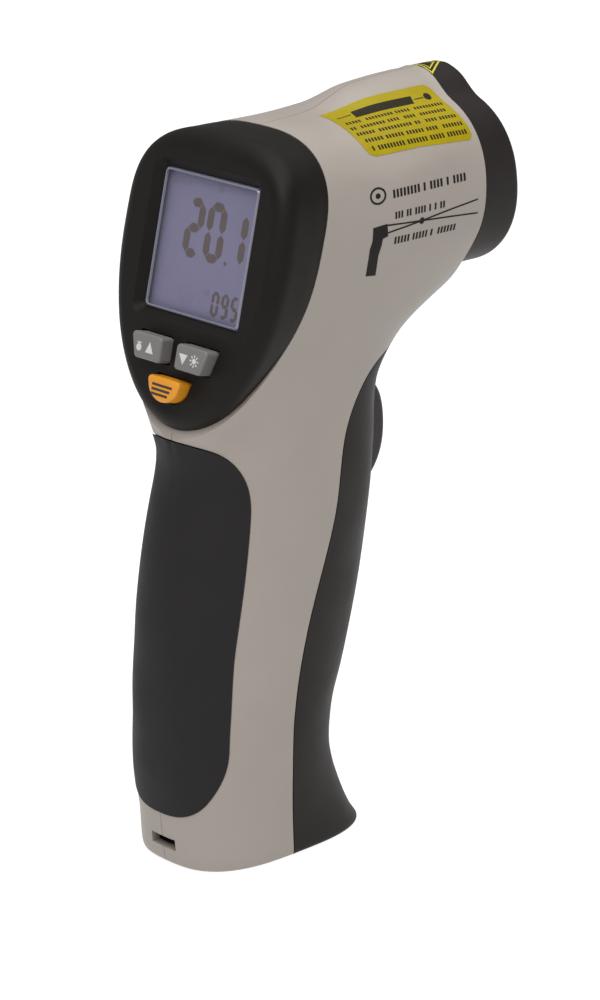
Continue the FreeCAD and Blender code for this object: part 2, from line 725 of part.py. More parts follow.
def nose_ring():
    """Dark collar on the end of the barrel, open for the optics and the laser."""
    half = nose_outer.cut(nose_inner)
    half = half.cut(block((-FAR, FAR), (30, RING_Y + JOINT / 2), (80, 170)))
    ring = both_halves(first_solid(half))
    seat = tube_y(SPIGOT_RADIUS + 1.3, SPIGOT_RADIUS - 0.8, (RING_Y + JOINT / 2, 52.6), SPIGOT_Z)
    spigot = tube_y(SPIGOT_RADIUS, SPIGOT_RADIUS - 0.8, (48.6, 52.0), SPIGOT_Z)
    ring = ring.fuse(seat).fuse(spigot)
    ring = ring.cut(rod_y(3.6, (45.0, 55.0), LASER_Z))
    mouth = revolved([(50.0, 0.0), (50.0, CONE_MOUTH), (59.9, CONE_MOUTH),
                      (66.0, CONE_MOUTH + 4.0), (66.0, 0.0)])
    ring = ring.cut(mouth)
    return first_solid(ring.cut(rod_y(2.7, (50.0, 70.0), LASER_Z)))


def lens_cone():
    """Stepped black funnel that carries the lens and shades it."""
    return revolved([
        (CONE_FRONT, CONE_MOUTH), (CONE_FRONT, CONE_MOUTH + 1.1), (55.0, CONE_MOUTH + 1.1),
        (47.5, CONE_THROAT + 2.9), (35.6, CONE_THROAT + 2.9), (35.6, CONE_THROAT + 1.4),
        (46.0, CONE_THROAT + 1.4), (46.0, CONE_THROAT), (49.5, CONE_THROAT),
        (49.5, CONE_THROAT + 1.2), (52.5, CONE_THROAT + 1.2), (52.5, CONE_THROAT + 2.5),
        (55.5, CONE_THROAT + 2.5), (55.5, CONE_THROAT + 3.8),
    ])


def ir_lens():
    """Domed infrared lens behind the throat of the cone."""
    disc = rod_y(CONE_THROAT + 1.2, (44.0, 45.9), AXIS_Z)
    ball = Part.makeSphere(32.0, Vector(0, 13.9, AXIS_Z))
    return disc.common(ball)


def sensor_can():
    """Thermopile in its metal can, with a window."""
    flange = rod_y(4.6, (35.6, 36.4), AXIS_Z)
    can = rod_y(4.1, (36.4, 39.4), AXIS_Z)
    window = rod_y(1.6, (39.0, 40.0), AXIS_Z)
    return flange.fuse(can).cut(window).removeSplitter()


def sensor_board():
    board = block((-10.5, 10.5), (34.4, 35.6), (AXIS_Z - 11.0, AXIS_Z + 11.0))
    edges = [e for e in board.Edges if abs(e.Vertexes[0].Y - e.Vertexes[-1].Y) > 1.0]
    return rounded(board, 2.5, edges)


def laser_module():
    """Brass laser barrel with a shoulder."""
    body_rod = rod_y(3.0, (36.0, 54.0), LASER_Z)
    tip = rod_y(2.4, (54.0, 56.2), LASER_Z)
    bore = rod_y(0.9, (54.5, 57.0), LASER_Z)
    return body_rod.fuse(tip).cut(bore).removeSplitter()


def laser_window():
    return rod_y(2.6, (58.0, 58.8), LASER_Z)


# ---------------------------------------------------------------- trigger
def trigger():
    """Curved trigger that slides straight back, with a post that works its switch."""
    front = Part.BSplineCurve()
    line = [(33.2, TRIGGER_TOP), (37.0, 90.2), (38.8, 83.8), (38.1, 76.6), (34.0, TRIGGER_BOTTOM)]
    front.interpolate([Vector(-TRIGGER_HALF_WIDTH, y, z) for y, z in line])
    corners = [line[-1], (TRIGGER_BACK, TRIGGER_BOTTOM), (TRIGGER_BACK, TRIGGER_TOP), line[0]]
    corners = [Vector(-TRIGGER_HALF_WIDTH, y, z) for y, z in corners]
    edges = [front.toShape()]
    edges += [Part.makeLine(a, b) for a, b in zip(corners, corners[1:])]
    lever = Part.Face(Part.Wire(edges)).extrude(Vector(2 * TRIGGER_HALF_WIDTH, 0, 0))
    nose_edges = [e for e in lever.Edges if e.BoundBox.YMax > 37.0 and e.BoundBox.YMin > 32.0]
    lever = rounded(lever, 1.3, nose_edges)
    post = rod_y(1.5, (20.9, TRIGGER_BACK), 79.0)
    spring_seat = rod_y(1.2, (22.0, TRIGGER_BACK), 87.0)
    return lever.fuse(post).fuse(spring_seat).removeSplitter()


def trigger_spring():
    """Compression spring between the trigger and the switch board."""
    length = TRIGGER_BACK - 14.5 - 0.6
    helix = Part.makeHelix(length / 5, length, 2.0)
    section_wire = Part.Wire(Part.makeCircle(0.25, Vector(2.0, 0, 0), Vector(0, 1, 0)))
    coil = Part.Wire(helix).makePipeShell([section_wire], True, True)
    coil.Placement = Placement(Vector(0, 14.8, 87.0), Rotation(Vector(1, 0, 0), -90))
    return coil


def switch_board():
    return block((-7.9, 7.9), (13.1, 14.4), (76.0, 90.5))


def trigger_switch():
    base = block((-3.0, 3.0), (14.4, 17.4), (76.0, 82.0))
    return base.fuse(rod_y(1.3, (17.4, 18.3), 79.0)).removeSplitter()


# ---------------------------------------------------------------- battery
def in_battery_axes(shape):
    """Puts a shape drawn about the battery's centre in place."""
    place = Placement(Vector(0, BATTERY_Y, BATTERY_Z), Rotation(Vector(1, 0, 0), -BATTERY_LEAN))
    moved = shape.copy()
    moved.Placement = place.multiply(moved.Placement)
    return moved


STUD_PITCH = 12.7


def battery():
    half = BATTERY_HEIGHT / 2
    box = block((-BATTERY_WIDTH / 2, BATTERY_WIDTH / 2), (-BATTERY_DEPTH / 2, BATTERY_DEPTH / 2),
                (-half, half))
    box = rounded(box, 1.5, [e for e in box.Edges if abs(e.Vertexes[0].Z - e.Vertexes[-1].Z) > 1])
    small = Part.makeCylinder(2.8, 2.1, Vector(0, STUD_PITCH / 2, half))
    large = Part.makeCylinder(3.6, 2.1, Vector(0, -STUD_PITCH / 2, half))
    return in_battery_axes(box.fuse(small).fuse(large).removeSplitter())


def battery_snap():
    """Snap connector on the battery's studs."""
    low = BATTERY_HEIGHT / 2 + 0.1
    cap = block((-6.2, 6.2), (-12.6, 12.6), (low, low + 3.6))
    cap = rounded(cap, 2.0, [e for e in cap.Edges if abs(e.Vertexes[0].Z - e.Vertexes[-1].Z) > 1])
    for y, radius in ((STUD_PITCH / 2, 3.1), (-STUD_PITCH / 2, 3.9)):
        cap = cap.cut(Part.makeCylinder(radius, 2.3, Vector(0, y, low)))
    return in_battery_axes(cap)


# ---------------------------------------------------------------- output
def main():
    os.makedirs("parts", exist_ok=True)
    half = shell_half()
    pieces = {
        "right_shell": right_shell(half),
        "left_shell": left_shell(half),
        "shell_screws": shell_screws(),
        "battery_door": battery_door(),
        "door_hinge_pin": door_hinge_pin(),
        "grip_pad": grip_pad(),
        "display_bezel": display_bezel(),
        "lcd_window": lcd_window(),
        "lcd_panel": lcd_panel(),
        "backlight_panel": backlight_panel(),
        "zebra_strip": zebra_strip(),
        "main_board": main_board(),
        "board_chips": board_chips(),
        "board_screws": board_screws(),
        "buzzer": buzzer(),
        "key_switches": key_switches(),
        "up_key": key("up"),
        "down_key": key("down"),
        "mode_key": key("mode"),
        "nose_ring": nose_ring(),
        "lens_cone": lens_cone(),
        "ir_lens": ir_lens(),
        "sensor_can": sensor_can(),
        "sensor_board": sensor_board(),
        "laser_module": laser_module(),
        "laser_window": laser_window(),
        "trigger": trigger(),
        "trigger_spring": trigger_spring(),
        "switch_board": switch_board(),
        "trigger_switch": trigger_switch(),
        "battery": battery(),
        "battery_snap": battery_snap(),
    }
    for name, shape in pieces.items():
        shape.translate(Vector(0, 0, -BASE_Z))
        count = len(shape.Solids)
        print(name, "valid" if shape.isValid() else "INVALID", count, round(shape.Volume, 1))
        shape.exportStep("parts/" + name + ".step")


main()
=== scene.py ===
import json
import math
from collections import Counter

import bmesh
import bpy
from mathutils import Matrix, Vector
from mathutils.bvhtree import BVHTree


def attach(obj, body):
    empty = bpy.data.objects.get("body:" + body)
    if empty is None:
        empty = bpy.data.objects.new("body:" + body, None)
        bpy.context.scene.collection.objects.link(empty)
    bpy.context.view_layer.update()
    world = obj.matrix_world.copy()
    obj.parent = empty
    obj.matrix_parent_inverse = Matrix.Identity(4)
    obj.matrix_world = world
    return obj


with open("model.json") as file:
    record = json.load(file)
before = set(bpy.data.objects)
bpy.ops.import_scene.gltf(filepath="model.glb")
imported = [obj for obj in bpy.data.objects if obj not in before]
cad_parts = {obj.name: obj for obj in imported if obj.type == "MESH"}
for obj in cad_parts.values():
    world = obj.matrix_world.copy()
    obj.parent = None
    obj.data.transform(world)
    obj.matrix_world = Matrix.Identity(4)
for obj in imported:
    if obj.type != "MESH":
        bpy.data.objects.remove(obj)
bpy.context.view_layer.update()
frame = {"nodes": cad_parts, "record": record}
nodes = frame["nodes"]
MM = 0.001

# ---------------------------------------------------------------- the display face's own axes
FACE_TILT = math.radians(13.0)
FACE_ORIGIN = Vector((0.0, -12.1, 121.4))
FACE_RIGHT = Vector((1.0, 0.0, 0.0))
FACE_UP = Vector((0.0, math.sin(FACE_TILT), math.cos(FACE_TILT)))
FACE_OUT = Vector((0.0, -math.cos(FACE_TILT), math.sin(FACE_TILT)))
WINDOW_DEPTH = 2.1          # front of the clear window behind the face
PANEL_DEPTH = 3.2           # front of the display panel behind the face
KEY_RAISE = 3.0             # front of the keys before the face
INK_RISE = 0.05             # display marks stand this far off the panel
SYMBOL_RISE = 0.03          # key symbols stand this far off the keys

# ---------------------------------------------------------------- prints round the barrel
BARREL_Z = 133.4            # height of the barrel's axis
PROBE_REACH = 60.0          # distance from the axis at which the outer surface is looked for
PRINT_RISE = 0.04           # prints stand this far off the plastic
LABEL_RISE = 0.09           # the label's face stands this far off the plastic
LABEL_INK_RISE = 0.12       # and the marks on it this far
FINE = (1.0, 2.5)           # grid of a bent plate: mm along y, degrees round the barrel
SAME_POINT = 1e-5           # corners closer than this, in mm, are one
LCD_INK = 0.04              # thicknesses of the plates
KEY_INK = 0.03
PRINT_INK = 0.03
LABEL_INK = 0.02
LABEL_SHEET = 0.08

# ---------------------------------------------------------------- camera
TARGET = Vector((8.0, 10.5, 73.9)) * MM
AZIMUTH, ELEVATION = math.radians(46.5), math.radians(18.7)
DISTANCE = 719.0 * MM
LENS = 126.8


def add_camera():
    away = Vector((math.sin(AZIMUTH) * math.cos(ELEVATION),
                   -math.cos(AZIMUTH) * math.cos(ELEVATION), math.sin(ELEVATION)))
    data = bpy.data.cameras.new("camera")
    data.lens = LENS
    data.clip_start, data.clip_end = 0.01, 50.0
    camera = bpy.data.objects.new("camera", data)
    camera.location = TARGET + away * DISTANCE
    camera.rotation_mode = "QUATERNION"
    camera.rotation_quaternion = (-away).to_track_quat("-Z", "Y")
    bpy.context.scene.collection.objects.link(camera)
    bpy.context.scene.camera = camera


# ---------------------------------------------------------------- light and floor
LAMP_AIM = (0.0, 0.0, 0.08)
LAMPS = [                   # name, place, size in metres, power in watts
    ("overhead", (0.1, 0.1, 1.6), (1.8, 1.8), 28.0),
    ("key", (0.48, -0.68, 1.08), (0.8, 0.8), 9.0),
    ("front", (0.15, -1.1, 0.5), (0.8, 0.8), 0.6),
    ("left", (-0.9, -0.55, 0.4), (0.6, 0.8), 0.4),
]
WORLD_STRENGTH = 0.25
FLOOR_HALF = 6.0


def add_area(name, place, size, power):
    data = bpy.data.lights.new(name, "AREA")
    data.shape = "RECTANGLE"
    data.size, data.size_y = size
    data.energy = power
    lamp = bpy.data.objects.new(name, data)
    lamp.location = place
    direction = Vector(LAMP_AIM) - Vector(place)
    lamp.rotation_euler = direction.to_track_quat("-Z", "Y").to_euler()
    bpy.context.scene.collection.objects.link(lamp)


def add_studio():
    for lamp in LAMPS:
        add_area(*lamp)
    world = bpy.data.worlds.new("studio")
    world.use_nodes = True
    background = world.node_tree.nodes["Background"]
    background.inputs["Color"].default_value = (1, 1, 1, 1)
    background.inputs["Strength"].default_value = WORLD_STRENGTH
    bpy.context.scene.world = world
    corners = [(x * FLOOR_HALF, y * FLOOR_HALF, 0)
               for x, y in ((-1, -1), (1, -1), (1, 1), (-1, 1))]
    mesh = bpy.data.meshes.new("floor")
    mesh.from_pydata(corners, [], [(0, 1, 2, 3)])
    mesh.materials.append(finish("floor_paper", (0.30, 0.30, 0.30), 0.8, emission=2.7))
    floor = bpy.data.objects.new("floor", mesh)
    bpy.context.scene.collection.objects.link(floor)


# ---------------------------------------------------------------- materials
def finish(name, colour, roughness, grain=0.0, depth=0.0, mottle=0.0, cloud=12.0,
           specular=0.5, metallic=0.0, coat=0.0, coat_roughness=0.1, alpha=1.0,
           emission=0.0, shade=None):
    """Procedural surface: fine grain of that size and depth in mm, and soft mottling.

    shade is (axis, start, end, colour at the start): a painted shade blended in along one axis of
    the object, mm.
    """
    material = bpy.data.materials.new(name)
    material.use_nodes = True
    tree = material.node_tree
    shader = tree.nodes["Principled BSDF"]
    shader.inputs["Base Color"].default_value = (*colour, 1)
    shader.inputs["Roughness"].default_value = roughness
    shader.inputs["Metallic"].default_value = metallic
    shader.inputs["IOR"].default_value = 1.45
    shader.inputs["Specular IOR Level"].default_value = specular
    shader.inputs["Coat Weight"].default_value = coat
    shader.inputs["Coat Roughness"].default_value = coat_roughness
    shader.inputs["Alpha"].default_value = alpha
    if emission:
        shader.inputs["Emission Color"].default_value = (*colour, 1)
        shader.inputs["Emission Strength"].default_value = emission
    place = tree.nodes.new("ShaderNodeTexCoord").outputs["Object"]
    if mottle:
        clouds = noise(tree, place, cloud, 3.0)
        base = ramp(tree, clouds, [(0.3, scaled(colour, 1 - mottle)),
                                   (0.7, scaled(colour, 1 + mottle))])
        if shade:
            base = shaded(tree, place, base, shade)
        tree.links.new(base, shader.inputs["Base Color"])
        spread = tree.nodes.new("ShaderNodeMapRange")
        spread.inputs["From Min"].default_value = 0.3
        spread.inputs["From Max"].default_value = 0.7
        spread.inputs["To Min"].default_value = max(0.03, roughness - 0.06)
        spread.inputs["To Max"].default_value = min(1.0, roughness + 0.06)
        tree.links.new(clouds, spread.inputs["Value"])
        tree.links.new(spread.outputs["Result"], shader.inputs["Roughness"])
    if grain:
        fine = noise(tree, place, grain, 2.0)
        bump = tree.nodes.new("ShaderNodeBump")
        bump.inputs["Strength"].default_value = 1.0
        bump.inputs["Distance"].default_value = depth * MM
        tree.links.new(fine, bump.inputs["Height"])
        tree.links.new(bump.outputs["Normal"], shader.inputs["Normal"])
    return material


def scaled(colour, factor):
    return tuple(min(1.0, channel * factor) for channel in colour)


def noise(tree, place, size, detail):
    """Noise whose lumps are about size mm across."""
    node = tree.nodes.new("ShaderNodeTexNoise")
    node.inputs["Scale"].default_value = 1.0 / (size * MM)
    node.inputs["Detail"].default_value = detail
    tree.links.new(place, node.inputs["Vector"])
    return node.outputs["Fac"]


def ramp(tree, value, stops):
    node = tree.nodes.new("ShaderNodeValToRGB")
    for element, (position, colour) in zip(node.color_ramp.elements, stops):
        element.position = position
        element.color = (*colour, 1)
    tree.links.new(value, node.inputs["Fac"])
    return node.outputs["Color"]


def shaded(tree, place, base, shade):
    """Blends in a painted shade from another colour along one axis of the object."""
    axis, start, end, colour = shade
    split = tree.nodes.new("ShaderNodeSeparateXYZ")
    tree.links.new(place, split.inputs["Vector"])
    spread = tree.nodes.new("ShaderNodeMapRange")
    spread.interpolation_type = "SMOOTHSTEP"
    spread.inputs["From Min"].default_value = start * MM
    spread.inputs["From Max"].default_value = end * MM
    tree.links.new(split.outputs[axis], spread.inputs["Value"])
    mix = tree.nodes.new("ShaderNodeMix")
    mix.data_type = "RGBA"
    mix.inputs["A"].default_value = (*colour, 1)
    tree.links.new(spread.outputs["Result"], mix.inputs["Factor"])
    tree.links.new(base, mix.inputs["B"])
    return mix.outputs["Result"]


def make_finishes():
    warm = dict(grain=0.35, depth=0.02)
    return {
        "shell_plastic": finish("shell_plastic", (0.302, 0.268, 0.238), 0.46, mottle=0.035,
                                cloud=18.0, specular=0.35, **warm),
        "bezel_plastic": finish("bezel_plastic", (0.0088, 0.0072, 0.0062), 0.5, grain=0.3,
                                depth=0.012, mottle=0.08, specular=0.14),
        "dark_plastic": finish("dark_plastic", (0.0160, 0.0130, 0.0118), 0.52, mottle=0.07,
                               specular=0.16, **warm),
        "pad_rubber": finish("pad_rubber", (0.0150, 0.0136, 0.0138), 0.62, grain=0.5,
                             depth=0.03, mottle=0.08, cloud=9.0, specular=0.18),
        "key_rubber": finish("key_rubber", (0.145, 0.140, 0.138), 0.5, grain=0.25, depth=0.012,
                             mottle=0.04, specular=0.4),
        "mode_rubber": finish("mode_rubber", (0.62, 0.245, 0.012), 0.42, grain=0.25,
                              depth=0.012, mottle=0.05, specular=0.45),
        "trigger_plastic": finish("trigger_plastic", (0.024, 0.0205, 0.0195), 0.42, mottle=0.06,
                                  specular=0.32, **warm),
        "clear_window": finish("clear_window", (0.35, 0.34, 0.52), 0.06, alpha=0.08,
                               mottle=0.02, specular=0.5),
        # painted shadow: the panel darkens towards its left edge (x -14.6 to -12.2 mm) where the
        # window recess's wall casts shade
        "lcd_glass": finish("lcd_glass", (0.146, 0.138, 0.210), 0.32, mottle=0.05, cloud=14.0,
                            specular=0.3, shade=("X", -14.6, -12.2, (0.10, 0.11, 0.12))),
        "diffuser": finish("diffuser", (0.78, 0.80, 0.82), 0.3, mottle=0.02, cloud=6.0),
        "board_laminate": finish("board_laminate", (0.015, 0.12, 0.045), 0.35, grain=0.5,
                                 depth=0.02, mottle=0.12, cloud=4.0),
        "chip_epoxy": finish("chip_epoxy", (0.018, 0.018, 0.019), 0.6, grain=0.15, depth=0.01,
                             mottle=0.1, cloud=3.0),
        "black_plastic": finish("black_plastic", (0.010, 0.010, 0.011), 0.5, grain=0.3,
                                depth=0.015, mottle=0.1, cloud=5.0, specular=0.35),
        "steel": finish("steel", (0.52, 0.51, 0.50), 0.3, metallic=1.0, grain=0.2, depth=0.006,
                        mottle=0.08, cloud=2.0),
        "brass": finish("brass", (0.66, 0.46, 0.18), 0.28, metallic=1.0, grain=0.2, depth=0.006,
                        mottle=0.08, cloud=2.0),
        "infrared_glass": finish("infrared_glass", (0.055, 0.022, 0.03), 0.08, mottle=0.15,
                                 cloud=5.0, specular=0.8, coat=1.0, coat_roughness=0.03),
        "elastomer": finish("elastomer", (0.62, 0.60, 0.56), 0.6, grain=0.3, depth=0.02,
                            mottle=0.06, cloud=2.0),
        "battery_can": finish("battery_can", (0.05, 0.06, 0.085), 0.3, metallic=0.3,
                              grain=0.6, depth=0.01, mottle=0.08, cloud=8.0),
    }


# ---------------------------------------------------------------- meshes
def add_piece(name, mesh, material, body):
    mesh.materials.append(material)
    piece = bpy.data.objects.new(name, mesh)
    bpy.context.scene.collection.objects.link(piece)
    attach(piece, body)
    return piece


def flat_shapes(shapes, spacing, place, thickness):
    """Thin closed plates from 2-D outlines, cut into a grid so that they can bend.

    place gives a point and the outward direction for 2-D coordinates, in mm.
    """
    bm = bmesh.new()
    for outline in shapes:
        bm.faces.new([bm.verts.new((u, v, 0)) for u, v in outline])
    if spacing:
        cut_into_grid(bm, spacing)
    bm.verts.index_update()
    faces = [[vert.index for vert in face.verts] for face in bm.faces]
    sides = [(a, b) for verts in faces for a, b in zip(verts, verts[1:] + verts[:1])]
    uses = Counter(frozenset(side) for side in sides)
    mesh = bmesh.new()
    tops, bottoms = [], []
    for vert in bm.verts:
        point, outward = place(vert.co.x, vert.co.y)
        tops.append(mesh.verts.new(point * MM))
        bottoms.append(mesh.verts.new((point - outward * thickness) * MM))
    for verts in faces:
        mesh.faces.new([tops[v] for v in verts])
        mesh.faces.new([bottoms[v] for v in reversed(verts)])
    for a, b in sides:
        if uses[frozenset((a, b))] == 1:
            mesh.faces.new([tops[b], tops[a], bottoms[a], bottoms[b]])
    bmesh.ops.recalc_face_normals(mesh, faces=mesh.faces)
    data = bpy.data.meshes.new("plate")
    mesh.to_mesh(data)
    mesh.free()
    bm.free()
    return data


def cut_into_grid(bm, spacing):
    bmesh.ops.triangulate(bm, faces=[f for f in bm.faces if len(f.verts) > 4])
    for axis in range(2):
        low = min(vert.co[axis] for vert in bm.verts)
        high = max(vert.co[axis] for vert in bm.verts)
        normal = Vector((1, 0, 0)) if axis == 0 else Vector((0, 1, 0))
        for index in range(1, int((high - low) / spacing[axis]) + 1):
            at = normal * (low + index * spacing[axis])
            geometry = list(bm.verts) + list(bm.edges) + list(bm.faces)
            bmesh.ops.bisect_plane(bm, geom=geometry, dist=SAME_POINT, plane_co=at,
                                   plane_no=normal)
    bmesh.ops.remove_doubles(bm, verts=bm.verts, dist=SAME_POINT)


def on_face(depth):
    """Placing function for the display face's plane, depth mm behind the face."""
    def place(u, v):
        return FACE_ORIGIN + FACE_RIGHT * u + FACE_UP * v - FACE_OUT * depth, FACE_OUT
    return place


def round_barrel(name, rise):
    """Placing function for (y in mm, degrees from the top) on a node round the barrel."""
    mesh = nodes[name].data
    points = [vert.co.copy() for vert in mesh.vertices]
    tree = BVHTree.FromPolygons(points, [list(face.vertices) for face in mesh.polygons])

    def place(y, degrees):
        angle = math.radians(degrees)
        outward = Vector((math.sin(angle), 0.0, math.cos(angle)))
        start = Vector((0.0, y, BARREL_Z)) * MM + outward * PROBE_REACH * MM
        point, normal = tree.ray_cast(start, -outward)[:2]
        return point / MM + normal * rise, normal
    return place


def box(u0, v0, u1, v1):
    return [(u0, v0), (u1, v0), (u1, v1), (u0, v1)]


def disc(u, v, radius_u, radius_v, count=20):
    turns = [2 * math.pi * index / count for index in range(count)]
    return [(u + radius_u * math.cos(t), v + radius_v * math.sin(t)) for t in turns]


def stroke(a, b, width_u, width_v):
    """Thin bar from a to b; the widths are across u and v."""
    run = math.hypot((b[0] - a[0]) / width_u, (b[1] - a[1]) / width_v)
    across = (-(b[1] - a[1]) / width_v / run * width_u / 2,
              (b[0] - a[0]) / width_u / run * width_v / 2)
    return [(a[0] - across[0], a[1] - across[1]), (b[0] - across[0], b[1] - across[1]),
            (b[0] + across[0], b[1] + across[1]), (a[0] + across[0], a[1] + across[1])]


# ---------------------------------------------------------------- display
SEGMENTS = {"0": "abcdef", "1": "bc", "2": "abged", "5": "afgcd", "9": "abcdfg"}
LARGE_BAR, SMALL_BAR = 1.8, 0.74


def digit(character, left, low, width, height, bar):
    """Seven-segment digit as bars with mitred ends."""
    middle = height / 2
    gap = bar * 0.07
    half = bar / 2
    ends = {
        "a": ((half, height - half), (width - half, height - half)),
        "b": ((width - half, height - half), (width - half, middle)),
        "c": ((width - half, middle), (width - half, half)),
        "d": ((half, half), (width - half, half)),
        "e": ((half, half), (half, middle)),
        "f": ((half, middle), (half, height - half)),
        "g": ((half, middle), (width - half, middle)),
    }
    outlines = []
    for name in SEGMENTS[character]:
        (u0, v0), (u1, v1) = ends[name]
        length = math.hypot(u1 - u0, v1 - v0)
        along = ((u1 - u0) / length, (v1 - v0) / length)
        side = (-along[1], along[0])
        outline = []
        for reach, offset in ((gap, 0), (gap + half, -half), (length - gap - half, -half),
                              (length - gap, 0), (length - gap - half, half),
                              (gap + half, half)):
            u = u0 + along[0] * reach + side[0] * offset
            v = v0 + along[1] * reach + side[1] * offset
            outline.append((left + u, low + v))
        outlines.append(outline)
    return outlines


def add_display():
    """Reading, emissivity value and faint marks on the display panel."""
    ink = finish("lcd_segment", (0.068, 0.045, 0.007), 0.5, mottle=0.06, cloud=3.0, specular=0.1)
    ghost = finish("lcd_ghost", (0.118, 0.110, 0.150), 0.4, mottle=0.04, cloud=3.0)
    place = on_face(PANEL_DEPTH - INK_RISE)
    large = digit("2", -7.2, 5.4, 5.2, 11.9, LARGE_BAR)
    large += digit("0", -1.2, 5.4, 5.5, 12.0, LARGE_BAR)
    large += digit("1", 5.2, 5.6, 5.4, 11.4, LARGE_BAR)
    large.append(disc(5.7, 6.0, 0.4, 0.4))
    small = []
    for character, left in (("0", 3.6), ("9", 6.4), ("5", 9.2)):
        small += digit(character, left, -4.8, 2.2, 5.0, SMALL_BAR)
    for name, outlines in (("lcd_main_digits", large), ("lcd_small_digits", small)):
        mesh = flat_shapes(outlines, None, place, LCD_INK)
        add_piece(name, mesh, ink, "housing")
    marks = [box(-12.6 + 0.95 * i, 19.2, -12.0 + 0.95 * i, 20.2) for i in range(6)]
    marks += [disc(1.3, 20.2, 0.9, 0.9)]
    marks += [box(0.7, -0.9 + 0.55 * i, 1.9, -0.65 + 0.55 * i) for i in range(2)]
    marks += [box(2.1, -1.0, 2.6, 0.2)]
    mesh = flat_shapes(marks, None, place, LCD_INK)
    add_piece("lcd_faint_marks", mesh, ghost, "housing")


WINDOW_MIDDLE = (0.0, 8.1)
WINDOW_HALF = (13.72, 14.02)
EDGE_CORNER = 1.0           # radius of the window's corners
CORNER_STEPS = 4


def add_window_edge():
    """Bevelled clear edge round the window, raised a little from it.

    Each ring is its inset from the edge and its rise over the window.
    """
    rings = [(0.0, 0.0), (0.0, 0.35), (0.3, 0.62), (0.4, 0.6), (0.4, 0.0)]
    signs = [(1, 1), (-1, 1), (-1, -1), (1, -1)]
    bm = bmesh.new()
    loops = []
    for inset, rise in rings:
        radius = EDGE_CORNER - inset * 0.8
        place = on_face(WINDOW_DEPTH - rise)
        loop = []
        for corner, (sign_u, sign_v) in enumerate(signs):
            for step in range(CORNER_STEPS + 1):
                turn = math.pi / 2 * (corner + step / CORNER_STEPS)
                u = sign_u * (WINDOW_HALF[0] - inset - radius) + radius * math.cos(turn)
                v = sign_v * (WINDOW_HALF[1] - inset - radius) + radius * math.sin(turn)
                point = place(WINDOW_MIDDLE[0] + u, WINDOW_MIDDLE[1] + v)[0]
                loop.append(bm.verts.new(point * MM))
        loops.append(loop)
    count = len(loops[0])
    for a, b in zip(loops, loops[1:] + loops[:1]):
        for index in range(count):
            after = (index + 1) % count
            bm.faces.new([a[index], a[after], b[after], b[index]])
    bmesh.ops.recalc_face_normals(bm, faces=bm.faces)
    mesh = bpy.data.meshes.new("window_edge")
    bm.to_mesh(mesh)
    bm.free()
    clear = finish("window_edge", (0.24, 0.24, 0.30), 0.12, mottle=0.03, specular=0.6,
                   coat=0.6, coat_roughness=0.05)
    add_piece("window_edge", mesh, clear, "housing")


# ---------------------------------------------------------------- key symbols
def lamp_symbol(u, v):
    """Disc with eight short rays."""
    outlines = []
    for index in range(8):
        turn = 2 * math.pi * index / 8
        near, far = ((u + reach * math.cos(turn), v + reach * math.sin(turn))
                     for reach in (0.75, 1.25))
        outlines.append(stroke(near, far, 0.28, 0.28))
    outlines.append(disc(u, v, 0.55, 0.55, 14))
    return outlines


def add_key_symbols():
    white = finish("symbol_white", (0.50, 0.50, 0.50), 0.5, mottle=0.05, cloud=2.0)
    dark = finish("symbol_black", (0.03, 0.02, 0.012), 0.5, mottle=0.05, cloud=2.0)
    place = on_face(-KEY_RAISE - SYMBOL_RISE)
    up = [[(-5.35, -12.1), (-6.35, -14.4), (-4.1, -14.4)]]
    up += [disc(-8.4, -13.7, 0.75, 0.75), box(-8.95, -12.9, -7.85, -12.6)]
    down = [[(3.4, -12.5), (5.9, -12.5), (4.75, -14.6)]]
    down += lamp_symbol(7.9, -13.3)
    mode = [box(-2.9, -20.15 - 0.95 * row, 2.9 - 0.5 * row, -19.65 - 0.95 * row)
            for row in range(3)]
    for name, outlines, material, body, slot in (
            ("up_symbols", up, white, "up_key", "key_rubber"),
            ("down_symbols", down, white, "down_key", "key_rubber"),
            ("mode_symbols", mode, dark, "mode_key", "mode_rubber")):
        mesh = flat_shapes(outlines, None, place, KEY_INK)
        add_piece(name, mesh, material, body)


# ---------------------------------------------------------------- prints and labels
BAR_HEIGHT = 0.72           # of the row's height
BAR_WIDTH = 0.58            # of the pitch


def print_row(start, end, height, words, pitch):
    """Row of equal bars in groups, standing in for small print."""
    bars = []
    length = end[0] - start[0]
    slope = (end[1] - start[1]) / length
    cell = length / (sum(words) + len(words) - 1)
    at = start[0]
    for word in words:
        stop = at + word * cell
        while at < stop - pitch * 0.5:
            base = start[1] + (at - start[0]) * slope
            bars.append(box(at, base - height * BAR_HEIGHT, at + pitch * BAR_WIDTH, base))
            at += pitch
        at = stop + cell
    return bars


def ring_mark(y, degrees):
    """Ring with a dot in it."""
    outer, inner = (2.3, 4.7), (1.8, 3.6)
    sides = 24
    outlines = []
    for index in range(sides):
        turn, after = (2 * math.pi * (index + step) / sides for step in (0, 1))
        quad = [(outer, turn), (outer, after), (inner, after), (inner, turn)]
        outlines.append([(y + u * math.cos(t), degrees + v * math.sin(t)) for (u, v), t in quad])
    outlines.append(disc(y, degrees, 0.7, 1.5))
    return outlines


